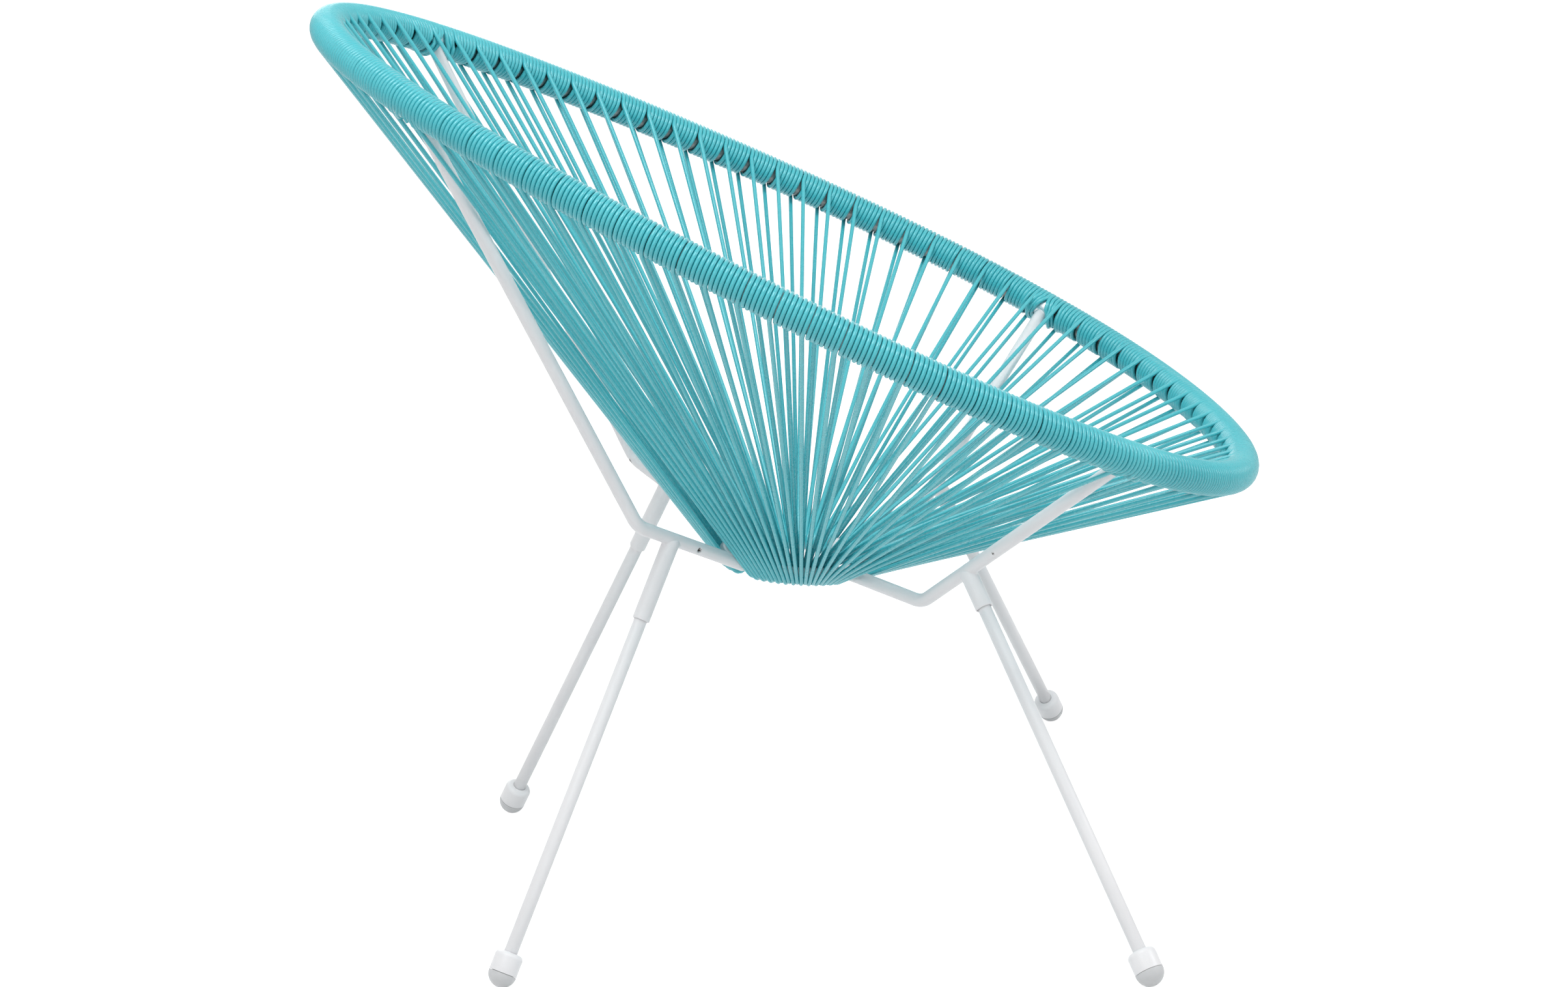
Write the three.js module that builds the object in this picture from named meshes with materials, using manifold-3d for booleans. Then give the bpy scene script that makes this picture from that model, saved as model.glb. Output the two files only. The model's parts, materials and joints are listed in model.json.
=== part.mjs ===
// Acapulco chair: an egg shaped tube hoop wound with round cord, a cone of taut cords that runs
// from the hoop down to a small ring, four bent struts between hoop and ring, and four screw-in legs.
// Millimetres. X points forward, Y to the sitter's left, Z up. The floor is Z = 0.
import * as THREE from 'three';
import { mergeVertices } from 'three/addons/utils/BufferGeometryUtils.js';
import Module from 'manifold-3d';

const wasm = await Module();
wasm.setup();

const { degToRad } = THREE.MathUtils;

// Fits shared by all pieces
const clearance = 0.3;
const cutOverrun = 20;

// Hoop: the seat rim, flat in a plane that leans back
const hoopTubeDiameter = 22.2;
const hoopHalfLength = 443.9;
const hoopHalfWidth = 372.7;
const hoopCentreHeight = 582.8;
const hoopLean = degToRad(30.2);
const hoopFrontWidthShare = 0.165;
const hoopShoulderWidthShare = 0.051;

// Cord: the winding on the hoop and the strands of the seat
const cordDiameter = 4;
const stationPitch = 29.3;
const ribDepthShare = 0.35;
const strandWidthShare = 0.88;
const strandOverlapLength = 6;
const windingPartingClearance = 0.8;
const windingJointGap = 0.6;

// Lower ring: the strands turn round it
const ringRadius = 62.9;
const ringRodDiameter = 12;
const ringCentreX = -17.4;
const ringCentreHeight = 295.3;
const ringTilt = degToRad(9.3);
const ringLoopMargin = 8;
const collarJointGap = 0.4;

// Struts: round rods with one bend, from the hoop down and in to the ring
const strutDiameter = 12;
const strutBendRadius = 24;
const backStrutHoopAngle = degToRad(143.3);
const frontStrutHoopAngle = degToRad(49);
const backStrutRingAngle = degToRad(138);
const frontStrutRingAngle = degToRad(48);
const strutRingSetbackShare = 0.5;
const backBendX = -154.9;
const backBendY = 124.2;
const backBendHeight = 367.4;
const frontBendX = 86.1;
const frontBendY = 113.9;
const frontBendHeight = 274.2;
const ventHoleDiameter = 4;
const ventHoleDepth = 3;
const ventHoleDistance = 74;

// Leg sockets: tubes welded under the struts, with a threaded nut inside
const socketDiameter = 15.6;
const socketBore = 12.8;
const backSocketLength = 76;
const frontSocketLength = 37;
const backSocketStrutShare = 0.322;
const frontSocketStrutShare = 0.769;
const socketCopeShare = 0.5;
const nutSetback = 1.65;
const nutHeight = 12;

// Legs: straight rods with a threaded stud at the top, in a ferrule with a domed glide at the foot
const legDiameter = 12;
const legChamfer = 1;
const studDiameter = 8;
const studHoldDepth = 14;
const studChamfer = 0.8;
const backFootX = -304.1;
const backFootY = 232.8;
const frontFootX = 236.5;
const frontFootY = 366.8;
const glideDiameter = 25;
const glideFlatDepth = 0.5;
const glideSpigotDiameter = 19;
const glideSpigotHeight = 6;
const ferruleHeight = 19;
const ferruleEdgeRadius = 4.5;
const ferruleSeatThickness = 0.6;

// Fineness of the round shapes
const hoopSides = 8;
const rodSides = 12;
const footSides = 16;
const collarSides = 8;
const bendSteps = 4;
const arcSteps = 4;
const domeSteps = 5;
const ringSegments = 48;
const hoopTableSteps = 1440;
const boreStationStep = 2;
const tangentPasses = 3;

// Colours
const steelFinish = { color: 0xe9e9ec, roughness: 0.35, metalness: 0.1 };
const tubeFinish = { color: 0x9c9692, roughness: 0.35, metalness: 0.9 };
const cordFinish = { color: 0x58bec8, roughness: 0.3, metalness: 0 };
const glideFinish = { color: 0xd6d8da, roughness: 0.45, metalness: 0 };
const zincFinish = { color: 0xb8bcc0, roughness: 0.35, metalness: 0.9 };

// Sizes that follow from the ones above
const hoopTubeRadius = hoopTubeDiameter / 2;
const windingRadius = hoopTubeRadius + cordDiameter;
const ribDepth = cordDiameter * ribDepthShare;
const strandWidth = cordDiameter * strandWidthShare;
const ringRodRadius = ringRodDiameter / 2;
const strutRadius = strutDiameter / 2;
const legRadius = legDiameter / 2;
const studRadius = studDiameter / 2;
const socketBoreRadius = socketBore / 2;
const glideRadius = glideDiameter / 2;
const footHeight = glideRadius - glideFlatDepth;

const chair = new THREE.Group();

// Adds one named piece in its own finish
function addPiece(name, geometry, finish, parent = chair) {
  const material = new THREE.MeshStandardMaterial(finish);
  const mesh = new THREE.Mesh(geometry, material);
  mesh.name = name;
  parent.add(mesh);
  return mesh;
}

// Closed mesh from points and triangles, turned outwards by its signed volume
function closedGeometry(points, faces) {
  const normal = new THREE.Vector3();
  let volume = 0;
  for (const [a, b, c] of faces) {
    normal.crossVectors(points[b], points[c]);
    volume += points[a].dot(normal);
  }
  const outward = volume > 0 ? faces : faces.map(([a, b, c]) => [a, c, b]);
  const geometry = new THREE.BufferGeometry().setFromPoints(points);
  geometry.setIndex(outward.flat());
  geometry.computeVertexNormals();
  return geometry;
}

// Triangles of the band between two rings, given the index of each ring's first point. Sides in
// the skipped list stay open.
function bandFaces(first, second, sides, skipped = []) {
  const faces = [];
  for (let side = 0; side < sides; side += 1) {
    if (!skipped.includes(side)) {
      const beside = (side + 1) % sides;
      faces.push([first + side, first + beside, second + beside]);
      faces.push([first + side, second + beside, second + side]);
    }
  }
  return faces;
}

// Closed skin over equal rings of points, the last ring joined to the first
function loopSkin(rings) {
  const sides = rings[0].length;
  const faces = rings.flatMap((ring, row) => (
    bandFaces(row * sides, (row + 1) % rings.length * sides, sides)
  ));
  return closedGeometry(rings.flat(), faces);
}

// One ring of points about a centre, in the plane of two unit directions
function ringPoints(centre, across, up, radius, sides) {
  const points = [];
  for (let side = 0; side < sides; side += 1) {
    const angle = (side + 0.5) / sides * Math.PI * 2;
    const point = centre.clone();
    point.addScaledVector(across, Math.cos(angle) * radius);
    point.addScaledVector(up, Math.sin(angle) * radius);
    points.push(point);
  }
  return points;
}

// Boolean joins and cuts
function toSolid(geometry) {
  const bare = geometry.clone();
  bare.deleteAttribute('normal');
  bare.deleteAttribute('uv');
  const merged = mergeVertices(bare);
  const vertProperties = new Float32Array(merged.attributes.position.array);
  const triVerts = new Uint32Array(merged.index.array);
  return new wasm.Manifold(new wasm.Mesh({ numProp: 3, vertProperties, triVerts }));
}

function toGeometry(solid) {
  const { vertProperties, triVerts } = solid.getMesh();
  const geometry = new THREE.BufferGeometry();
  geometry.setAttribute('position', new THREE.BufferAttribute(vertProperties, 3));
  geometry.setIndex(new THREE.BufferAttribute(triVerts, 1));
  geometry.computeVertexNormals();
  return geometry;
}

function cutAway(geometry, cutters) {
  let solid = toSolid(geometry);
  for (const cutter of cutters) {
    solid = solid.subtract(toSolid(cutter));
  }
  return toGeometry(solid);
}

// Hoop centre line: an ellipse in the leaning plane, wider in front of its middle and squarer
// at its shoulders. Angle 0 is the front, a quarter turn the sitter's left.
const hoopForward = new THREE.Vector3(Math.cos(hoopLean), 0, -Math.sin(hoopLean));
const hoopLeft = new THREE.Vector3(0, 1, 0);
const hoopUp = new THREE.Vector3(Math.sin(hoopLean), 0, Math.cos(hoopLean));
const hoopCentre = new THREE.Vector3(0, 0, hoopCentreHeight);

function hoopPoint(angle) {
  const taper = hoopFrontWidthShare * Math.cos(angle);
  const shoulder = hoopShoulderWidthShare * Math.cos(angle * 2);
  const reach = hoopHalfWidth * Math.sin(angle) * (1 + taper + shoulder);
  const point = hoopCentre.clone();
  point.addScaledVector(hoopForward, hoopHalfLength * Math.cos(angle));
  return point.addScaledVector(hoopLeft, reach);
}

function hoopTangent(angle) {
  const step = Math.PI / hoopTableSteps;
  return hoopPoint(angle + step).sub(hoopPoint(angle - step)).normalize();
}

function hoopOutward(angle) {
  return new THREE.Vector3().crossVectors(hoopTangent(angle), hoopUp).normalize();
}

function hoopRing(angle, radius) {
  return ringPoints(hoopPoint(angle), hoopOutward(angle), hoopUp, radius, hoopSides);
}

// Table of length along the hoop, to space things evenly on it
const hoopLengths = [0];
for (let step = 1; step <= hoopTableSteps; step += 1) {
  const from = hoopPoint((step - 1) / hoopTableSteps * Math.PI * 2);
  const to = hoopPoint(step / hoopTableSteps * Math.PI * 2);
  hoopLengths.push(hoopLengths[step - 1] + from.distanceTo(to));
}
const hoopPerimeter = hoopLengths[hoopTableSteps];

function lengthAtAngle(angle) {
  const turns = Math.floor(angle / (Math.PI * 2));
  const place = (angle / (Math.PI * 2) - turns) * hoopTableSteps;
  const step = Math.min(Math.floor(place), hoopTableSteps - 1);
  const part = place - step;
  return turns * hoopPerimeter + hoopLengths[step] * (1 - part) + hoopLengths[step + 1] * part;
}

function angleAtLength(length) {
  const turns = Math.floor(length / hoopPerimeter);
  const rest = length - turns * hoopPerimeter;
  let step = 0;
  while (step < hoopTableSteps - 1 && hoopLengths[step + 1] < rest) {
    step += 1;
  }
  const part = (rest - hoopLengths[step]) / (hoopLengths[step + 1] - hoopLengths[step]);
  return (turns + (step + part) / hoopTableSteps) * Math.PI * 2;
}

// Lower ring centre line
const ringForward = new THREE.Vector3(Math.cos(ringTilt), 0, -Math.sin(ringTilt));
const ringUp = new THREE.Vector3(Math.sin(ringTilt), 0, Math.cos(ringTilt));
const ringCentre = new THREE.Vector3(ringCentreX, 0, ringCentreHeight);

function ringOutward(angle) {
  const outward = ringForward.clone().multiplyScalar(Math.cos(angle));
  return outward.addScaledVector(hoopLeft, Math.sin(angle));
}

function ringPoint(angle) {
  return ringCentre.clone().addScaledVector(ringOutward(angle), ringRadius);
}

function ringTangent(angle) {
  return new THREE.Vector3().crossVectors(ringUp, ringOutward(angle));
}

function ringSection(angle, radius) {
  return ringPoints(ringPoint(angle), ringOutward(angle), ringUp, radius, collarSides);
}

function ringTorus(radius) {
  const rings = [];
  for (let segment = 0; segment < ringSegments; segment += 1) {
    rings.push(ringSection(segment / ringSegments * Math.PI * 2, radius));
  }
  return loopSkin(rings);
}

// Centre line of a rod through straight runs with a round bend at each inner corner. The steps of
// the curve fall on its corners and bends, not at even lengths.
class BentRod extends THREE.Curve {
  constructor(corners, bendRadius) {
    super();
    this.knots = [corners[0]];
    for (let index = 1; index < corners.length - 1; index += 1) {
      const back = corners[index - 1].clone().sub(corners[index]).normalize();
      const on = corners[index + 1].clone().sub(corners[index]).normalize();
      const half = back.angleTo(on) / 2;
      const middle = back.clone().add(on).normalize();
      const centre = corners[index].clone().addScaledVector(middle, bendRadius / Math.sin(half));
      const start = corners[index].clone().addScaledVector(back, bendRadius / Math.tan(half));
      const first = start.clone().sub(centre);
      const axis = new THREE.Vector3().crossVectors(on, back).normalize();
      const turn = Math.PI - half * 2;
      for (let step = 0; step <= bendSteps; step += 1) {
        const arm = first.clone().applyAxisAngle(axis, turn * step / bendSteps);
        this.knots.push(centre.clone().add(arm));
      }
    }
    this.knots.push(corners[corners.length - 1]);
  }

  get steps() {
    return this.knots.length - 1;
  }

  getPoint(share, target = new THREE.Vector3()) {
    const place = share * this.steps;
    const step = Math.min(Math.floor(place), this.steps - 1);
    return target.lerpVectors(this.knots[step], this.knots[step + 1], place - step);
  }

  getUtoTmapping(share) {
    return share;
  }

  getTangent(share, target = new THREE.Vector3()) {
    const knot = Math.round(share * this.steps);
    const before = this.knots[Math.max(knot - 1, 0)];
    const here = this.knots[knot];
    const after = this.knots[Math.min(knot + 1, this.steps)];
    const arrive = here.clone().sub(before).normalize();
    const leave = after.clone().sub(here).normalize();
    return target.addVectors(arrive, leave).normalize();
  }
}

function rodAlong(curve, radius) {
  const section = new THREE.Shape();
  section.absarc(0, 0, radius, 0, Math.PI * 2);
  return new THREE.ExtrudeGeometry(section, {
    curveSegments: rodSides / 2,
    steps: curve.steps,
    extrudePath: curve,
  });
}

// Strut routes, left side, mirrored for the right
const strutPlans = {
  back: {
    hoopAngle: backStrutHoopAngle,
    ringAngle: backStrutRingAngle,
    bend: new THREE.Vector3(backBendX, backBendY, backBendHeight),
    foot: new THREE.Vector3(backFootX, backFootY, footHeight),
    socketLength: backSocketLength,
    socketShare: backSocketStrutShare,
    socketBelowBend: true,
  },
  front: {
    hoopAngle: frontStrutHoopAngle,
    ringAngle: frontStrutRingAngle,
    bend: new THREE.Vector3(frontBendX, frontBendY, frontBendHeight),
    foot: new THREE.Vector3(frontFootX, frontFootY, footHeight),
    socketLength: frontSocketLength,
    socketShare: frontSocketStrutShare,
    socketBelowBend: false,
  },
};
const sideSigns = { left: 1, right: -1 };

function mirrored(point, sign) {
  return new THREE.Vector3(point.x, point.y * sign, point.z);
}

function strutCorners(plan, sign) {
  const top = hoopPoint(plan.hoopAngle);
  const end = ringPoint(plan.ringAngle);
  end.addScaledVector(ringOutward(plan.ringAngle), ringRodRadius * strutRingSetbackShare);
  const corners = [top, plan.bend, end];
  return corners.map((corner) => mirrored(corner, sign));
}

// Struts, each coped to the tube at its top and to the ring at its foot
const strutBodies = {};
function strutSkin(place, side, extra) {
  const corners = strutCorners(strutPlans[place], sideSigns[side]);
  return rodAlong(new BentRod(corners, strutBendRadius), strutRadius + extra);
}

// Length along the hoop at which a strut comes out of the winding: its axis there is as far from
// the tube's centre line as the winding's outside
function strutCrossing(plan) {
  const [top, bend] = strutCorners(plan, sideSigns.left);
  const down = bend.clone().sub(top).normalize();
  let place = lengthAtAngle(plan.hoopAngle);
  for (let pass = 0; pass < tangentPasses; pass += 1) {
    const angle = angleAtLength(place);
    const tangent = hoopTangent(angle);
    const arm = top.clone().sub(hoopPoint(angle)).projectOnPlane(tangent);
    const slope = down.clone().projectOnPlane(tangent);
    const lean = arm.dot(slope);
    const rest = slope.lengthSq() * (windingRadius ** 2 - arm.lengthSq());
    const reach = (Math.sqrt(lean ** 2 + rest) - lean) / slope.lengthSq();
    const crossing = top.clone().addScaledVector(down, reach);
    place += crossing.sub(hoopPoint(angle)).dot(tangent);
  }
  return place;
}

// The hoop is parted into four runs at the struts
const frontParting = strutCrossing(strutPlans.front);
const backParting = strutCrossing(strutPlans.back);
const runPlans = [
  { name: 'front', start: -frontParting, end: frontParting, nodes: 3,
    ringFrom: -frontStrutRingAngle, ringTo: frontStrutRingAngle },
  { name: 'left', start: frontParting, end: backParting, nodes: 4,
    ringFrom: frontStrutRingAngle, ringTo: backStrutRingAngle },
  { name: 'back', start: backParting, end: hoopPerimeter - backParting, nodes: 3,
    ringFrom: backStrutRingAngle, ringTo: Math.PI * 2 - backStrutRingAngle },
  { name: 'right', start: hoopPerimeter - backParting, end: hoopPerimeter - frontParting, nodes: 4,
    ringFrom: Math.PI * 2 - backStrutRingAngle, ringTo: Math.PI * 2 - frontStrutRingAngle },
];
const hoopRingAngles = [];
for (const run of runPlans) {
  run.length = run.end - run.start;
  run.stations = Math.max(run.nodes, Math.round(run.length / stationPitch));
  run.coreSteps = Math.ceil(run.stations / 2);
  run.angleAt = (share) => angleAtLength(run.start + run.length * share);
  for (let step = 0; step < run.coreSteps; step += 1) {
    hoopRingAngles.push(run.angleAt(step / run.coreSteps));
  }
}

// The hoop tube has its rings where the bores of the windings have theirs
function hoopTorus(radius) {
  return loopSkin(hoopRingAngles.map((angle) => hoopRing(angle, radius)));
}
addPiece('hoop_tube', hoopTorus(hoopTubeRadius), tubeFinish);
addPiece('lower_ring', ringTorus(ringRodRadius), steelFinish);

const hoopCutter = hoopTorus(hoopTubeRadius + clearance);
const ringCutter = ringTorus(ringRodRadius + clearance);
for (const place of ['front', 'back']) {
  for (const side of ['left', 'right']) {
    strutBodies[`${place}_${side}`] = cutAway(strutSkin(place, side, 0), [hoopCutter, ringCutter]);
  }
}

// A drain hole in the under rod of the back right strut
function ventCutter() {
  const corners = strutCorners(strutPlans.back, sideSigns.right);
  const along = corners[2].clone().sub(corners[1]).normalize();
  const outward = new THREE.Vector3().crossVectors(along, hoopUp).normalize();
  const mouth = corners[1].clone().addScaledVector(along, ventHoleDistance);
  mouth.addScaledVector(outward, outward.y < 0 ? strutRadius : -strutRadius);
  const drill = new THREE.CylinderGeometry(
    ventHoleDiameter / 2, ventHoleDiameter / 2, ventHoleDepth * 2, rodSides,
  );
  const turn = new THREE.Quaternion().setFromUnitVectors(new THREE.Vector3(0, 1, 0), outward);
  drill.applyQuaternion(turn);
  return drill.translate(mouth.x, mouth.y, mouth.z);
}
strutBodies.back_right = cutAway(strutBodies.back_right, [ventCutter()]);
for (const [name, geometry] of Object.entries(strutBodies)) {
  addPiece(`strut_${name}`, geometry, steelFinish);
}

// Hoop windings: the turns between two strands lie close together as one rib. The sleeve has a
// bore for the tube, and parts round the strut at each end.
function windingSleeve(run) {
  const endShare = windingJointGap / 2 / run.length;
  const kept = (share) => Math.min(Math.max(share, endShare), 1 - endShare);
  const outer = [];
  for (let half = 0; half <= run.stations * 2; half += 1) {
    const radius = half % 2 === 0 ? windingRadius : windingRadius - ribDepth;
    outer.push(hoopRing(run.angleAt(kept(half / 2 / run.stations)), radius));
  }
  const boreRadius = hoopTubeRadius + clearance / Math.cos(Math.PI / hoopSides);
  const bore = [];
  for (let step = run.coreSteps; step >= 0; step -= 1) {
    bore.push(hoopRing(run.angleAt(kept(step / run.coreSteps)), boreRadius));
  }
  return loopSkin([...outer, ...bore]);
}

const strutParting = strutRadius + windingPartingClearance;
for (const run of runPlans) {
  const partings = [];
  for (const place of ['front', 'back']) {
    for (const side of ['left', 'right']) {
      partings.push(strutSkin(place, side, strutParting - strutRadius));
    }
  }
  addPiece(`hoop_winding_${run.name}`, cutAway(windingSleeve(run), partings), cordFinish);
}

// Far end of a strand: it lies over the winding (layer 1) and runs on a little past its top, or
// stops at the winding's under side (layer -1). Returns its four corners, as seen along the hoop.
function strandEnd(hoopAngle, ringAngle, layer) {
  const half = strandWidth / 2;
  const overOffset = windingRadius + clearance + half;
  const underOffset = hoopTubeRadius + cordDiameter / 2;
  const hoopOffset = layer > 0 ? overOffset : underOffset;
  const ringOffset = ringRodRadius + cordDiameter / 2;
  const tangent = hoopTangent(hoopAngle);
  const high = hoopPoint(hoopAngle);
  const low = ringPoint(ringAngle);
  const along = high.clone().sub(low).normalize();
  const normal = new THREE.Vector3();
  const centre = new THREE.Vector3();
  for (let pass = 0; pass < tangentPasses; pass += 1) {
    normal.crossVectors(along, tangent).normalize();
    normal.multiplyScalar(Math.sign(normal.dot(hoopUp)));
    centre.copy(high).addScaledVector(normal, hoopOffset * layer);
    along.copy(centre).addScaledVector(normal, -ringOffset * layer).sub(low).normalize();
  }
  if (layer > 0) {
    centre.addScaledVector(along, strandOverlapLength);
  } else {
    const reach = windingRadius + clearance + half * Math.SQRT2;
    centre.addScaledVector(along, -Math.sqrt(Math.max(reach ** 2 - hoopOffset ** 2, 0)));
  }
  const across = new THREE.Vector3().crossVectors(normal, along).normalize();
  const acrossSign = Math.sign(across.dot(ringTangent(ringAngle)));
  const corner = (acrossSteps, normalSteps) => {
    const point = centre.clone().addScaledVector(across, acrossSteps * acrossSign * half);
    return point.addScaledVector(normal, normalSteps * half);
  };
  return [corner(-1, -1), corner(-1, 1), corner(1, 1), corner(1, -1)];
}

// Section of the turns round the ring: an octagon whose corner 0 points along the strands, so the
// strands run on from its sides 1 and 6 with their outer faces on its corners 2 and 6
const overSide = 1;
const underSide = 6;

function strandSection(hoopAngle, ringAngle, radius) {
  const along = hoopPoint(hoopAngle).sub(ringPoint(ringAngle));
  const outward = ringOutward(ringAngle);
  const rise = Math.atan2(along.dot(ringUp), along.dot(outward));
  const points = [];
  for (let side = 0; side < collarSides; side += 1) {
    const angle = rise + side / collarSides * Math.PI * 2;
    const point = ringPoint(ringAngle);
    point.addScaledVector(outward, Math.cos(angle) * radius);
    points.push(point.addScaledVector(ringUp, Math.sin(angle) * radius));
  }
  return points;
}

// Lacing group: neighbouring strands with the turns of cord round the ring that they run on from
function lacingGroup(run, ringAt, from, to) {
  const turnRadius = ringRodRadius + cordDiameter;
  const boreRadius = (ringRodRadius + clearance) / Math.cos(Math.PI / collarSides);
  const inset = collarJointGap / 2 / ringRadius;
  const points = [];
  const faces = [];
  const addRing = (ring) => {
    points.push(...ring);
    return points.length - ring.length;
  };
  const turns = [];
  const bores = [];
  for (let edge = from; edge <= to; edge += 1) {
    const share = edge / run.stations;
    const shift = (edge === from ? inset : 0) - (edge === to ? inset : 0);
    const hoopAngle = run.angleAt(share);
    const ringAngle = ringAt(share) + shift;
    turns.push(addRing(strandSection(hoopAngle, ringAngle, turnRadius)));
    if ((edge - from) % boreStationStep === 0 || edge === to) {
      bores.push(addRing(strandSection(hoopAngle, ringAngle, boreRadius)));
    }
  }
  for (let step = 1; step < bores.length; step += 1) {
    faces.push(...bandFaces(bores[step], bores[step - 1], collarSides));
  }
  faces.push(...bandFaces(bores[0], turns[0], collarSides));
  faces.push(...bandFaces(turns[turns.length - 1], bores[bores.length - 1], collarSides));
  for (let station = 0; station < to - from; station += 1) {
    const share = (station + from + 0.5) / run.stations;
    const near = turns[station];
    const next = turns[station + 1];
    faces.push(...bandFaces(near, next, collarSides, [overSide, underSide]));
    for (const [side, layer] of [[overSide, 1], [underSide, -1]]) {
      const end = addRing(strandEnd(run.angleAt(share), ringAt(share), layer));
      const base = [near + side, near + side + 1, next + side + 1, next + side];
      for (let edge = 0; edge < 4; edge += 1) {
        const beside = (edge + 1) % 4;
        faces.push([base[edge], base[beside], end + beside]);
        faces.push([base[edge], end + beside, end + edge]);
      }
      faces.push([end, end + 1, end + 2], [end, end + 2, end + 3]);
    }
  }
  return closedGeometry(points, faces);
}

const ringMarginAngle = ringLoopMargin / ringRadius;
for (const run of runPlans) {
  const ringFrom = run.ringFrom + ringMarginAngle;
  const ringSpan = run.ringTo - ringMarginAngle - ringFrom;
  const ringAt = (share) => ringFrom + ringSpan * share;
  const firstStation = (node) => Math.round(node * run.stations / run.nodes);
  for (let node = 0; node < run.nodes; node += 1) {
    const group = lacingGroup(run, ringAt, firstStation(node), firstStation(node + 1));
    addPiece(`lacing_${run.name}_${node + 1}`, group, cordFinish);
  }
}

// Round pieces on the axis of a leg: profiles give radius and height above the foot's centre
function lathePiece(profile, sides = rodSides) {
  return new THREE.LatheGeometry(profile.map(([x, y]) => new THREE.Vector2(x, y)), sides);
}

function tubeProfile(inner, outer, bottom, top) {
  return [[inner, bottom], [outer, bottom], [outer, top], [inner, top], [inner, bottom]];
}

// Quarter circle of profile points about a centre, from one angle to another
function arcProfile(centreX, centreY, radius, fromAngle, toAngle, steps) {
  const points = [];
  for (let step = 0; step <= steps; step += 1) {
    const angle = fromAngle + (toAngle - fromAngle) * step / steps;
    points.push([centreX + radius * Math.cos(angle), centreY + radius * Math.sin(angle)]);
  }
  return points;
}

function glideProfile() {
  const dome = arcProfile(0, 0, glideRadius, -Math.PI / 2, 0, domeSteps);
  dome[0][0] = 0;
  const spigotRadius = glideSpigotDiameter / 2;
  return [...dome, [spigotRadius, 0], [spigotRadius, glideSpigotHeight], [0, glideSpigotHeight]];
}

function ferruleProfile(legBottom) {
  const edge = arcProfile(
    glideRadius - ferruleEdgeRadius, ferruleHeight - ferruleEdgeRadius,
    ferruleEdgeRadius, 0, Math.PI / 2, arcSteps,
  );
  const boreRadius = legRadius + clearance;
  const pocketRadius = glideSpigotDiameter / 2 + clearance;
  const pocketTop = legBottom + ferruleSeatThickness;
  return [
    [glideRadius, clearance],
    ...edge,
    [boreRadius, ferruleHeight],
    [boreRadius, pocketTop],
    [pocketRadius, pocketTop],
    [pocketRadius, clearance],
    [glideRadius, clearance],
  ];
}

function legProfile(bottom, top) {
  const boreRadius = studRadius + clearance;
  return [
    [0, bottom],
    [legRadius - legChamfer, bottom],
    [legRadius, bottom + legChamfer],
    [legRadius, top - legChamfer],
    [legRadius - legChamfer, top],
    [boreRadius, top],
    [boreRadius, top - studHoldDepth],
    [0, top - studHoldDepth],
  ];
}

function studProfile(bottom, top) {
  return [
    [0, bottom],
    [studRadius, bottom],
    [studRadius, top - studChamfer],
    [studRadius - studChamfer, top],
    [0, top],
  ];
}

// Each leg is a group whose own Y runs up the leg from the centre of its foot
for (const place of ['front', 'back']) {
  for (const side of ['left', 'right']) {
    const plan = strutPlans[place];
    const sign = sideSigns[side];
    const [top, bend, foot] = strutCorners(plan, sign);
    const [from, to] = plan.socketBelowBend ? [bend, foot] : [top, bend];
    const joint = from.clone().lerp(to, plan.socketShare);
    const footCentre = mirrored(plan.foot, sign);
    const upLeg = joint.clone().sub(footCentre);
    const jointHeight = upLeg.length();
    upLeg.normalize();

    const leg = new THREE.Group();
    leg.position.copy(footCentre);
    leg.quaternion.setFromUnitVectors(new THREE.Vector3(0, 1, 0), upLeg);
    leg.updateMatrixWorld(true);
    chair.add(leg);

    const lean = to.clone().sub(from).angleTo(upLeg);
    const strutReach = (strutRadius + socketBoreRadius * Math.abs(Math.cos(lean))) / Math.sin(lean);
    const nutTop = jointHeight - strutReach - nutSetback;
    const nutBottom = nutTop - nutHeight;
    const legTop = nutBottom - clearance;
    const legBottom = glideSpigotHeight + clearance;
    const name = `${place}_${side}`;

    const socketTube = lathePiece(tubeProfile(
      socketBoreRadius, socketDiameter / 2, jointHeight - plan.socketLength,
      jointHeight - strutRadius * socketCopeShare,
    ));
    socketTube.applyMatrix4(leg.matrixWorld);
    const socket = cutAway(socketTube, [strutSkin(place, side, clearance)]);
    addPiece(`leg_socket_${name}`, socket, steelFinish);

    const nut = lathePiece(tubeProfile(
      studRadius + clearance, socketBoreRadius - clearance, nutBottom, nutTop,
    ));
    addPiece(`socket_nut_${name}`, nut, zincFinish, leg);
    addPiece(`leg_rod_${name}`, lathePiece(legProfile(legBottom, legTop)), steelFinish, leg);
    const stud = lathePiece(studProfile(legTop - studHoldDepth + clearance, nutTop));
    addPiece(`leg_stud_${name}`, stud, zincFinish, leg);
    addPiece(`foot_ferrule_${name}`, lathePiece(ferruleProfile(legBottom), footSides), steelFinish, leg);

    const floorCutter = new THREE.BoxGeometry(
      glideDiameter + cutOverrun, glideDiameter + cutOverrun, cutOverrun,
    );
    floorCutter.translate(footCentre.x, footCentre.y, -cutOverrun / 2);
    const glideBody = lathePiece(glideProfile(), footSides);
    glideBody.applyMatrix4(leg.matrixWorld);
    addPiece(`foot_glide_${name}`, cutAway(glideBody, [floorCutter]), glideFinish);
  }
}

export default chair;
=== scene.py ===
import json
import math

import bpy
import numpy as np
from mathutils import Matrix


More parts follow.
